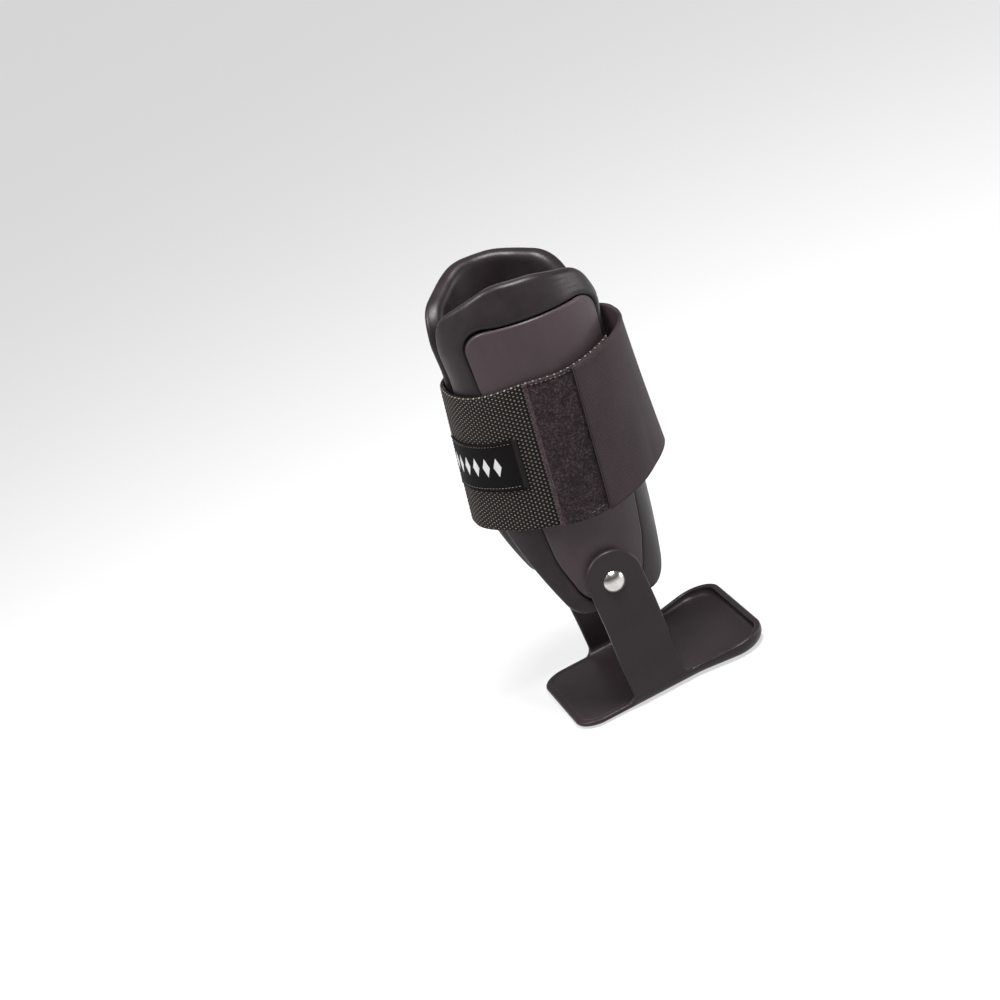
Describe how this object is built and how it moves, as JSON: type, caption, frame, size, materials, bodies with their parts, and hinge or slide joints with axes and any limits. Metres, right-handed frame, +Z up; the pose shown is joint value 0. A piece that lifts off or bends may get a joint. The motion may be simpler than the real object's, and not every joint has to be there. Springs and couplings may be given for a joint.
{
  "type": "hinged stirrup ankle brace",
  "caption": "Hinged ankle foot orthosis: a moulded stirrup with footplate, riveted padded side shells and a wide wrap strap with a hook-and-loop tab.",
  "frame": {"origin": "on the underside of the footplate, straight below the ankle hinge axis", "axes": "+Z up, +X to the lateral side along the hinge axis, -Y towards the toes"},
  "size_m": [0.1014, 0.1044, 0.2153],
  "materials": {
    "stirrup_plastic": "satin",
    "shell_plastic": "satin",
    "spacer_plastic": "matte",
    "eva_foam": "satin",
    "polished_steel": "polished",
    "webbing": "matte",
    "loop_fabric": "matte",
    "strap_laminate": "matte",
    "hook_tape": "matte",
    "label_fabric": "matte"
  },
  "bodies": {
    "stirrup": {"stirrup": "stirrup_plastic"},
    "lateral_cuff": {"lateral_shell": "shell_plastic", "lateral_pad": "eva_foam", "lateral_pad_fastener": "hook_tape", "lateral_strap_patch": "hook_tape", "lateral_rivet": "polished_steel", "lateral_rivet_washer": "polished_steel", "lateral_hinge_spacer": "spacer_plastic", "front_strap": "webbing", "strap_label": "label_fabric", "loop_panel": "loop_fabric", "rear_strap": "strap_laminate"},
    "medial_cuff": {"medial_shell": "shell_plastic", "medial_pad": "eva_foam", "medial_pad_fastener": "hook_tape", "medial_strap_patch": "hook_tape", "medial_rivet": "polished_steel", "medial_rivet_washer": "polished_steel", "medial_hinge_spacer": "spacer_plastic"},
    "strap_tab": {"strap_tab": "strap_laminate", "tab_hook": "hook_tape"}
  },
  "joints": [
    {"name": "lateral_ankle_hinge", "type": "hinge", "parent": "stirrup", "child": "lateral_cuff", "pos_m": [0.0464, 0, 0.067], "axis": [1, 0, 0], "range_deg": [-36.5, 33.5]},
    {"name": "medial_ankle_hinge", "type": "hinge", "parent": "stirrup", "child": "medial_cuff", "pos_m": [-0.0464, 0, 0.067], "axis": [1, 0, 0], "range_deg": [-36.5, 33.5]},
    {"name": "strap_tab_peel", "type": "hinge", "parent": "lateral_cuff", "child": "strap_tab", "pos_m": [0.02635, 0.05002, 0.1303], "axis": [0, 0.1478, 0.989], "range_deg": [0, 100]}
  ],
  "couplings": [
    {"joint": "medial_ankle_hinge", "follows": "lateral_ankle_hinge", "ratio": 1}
  ]
}
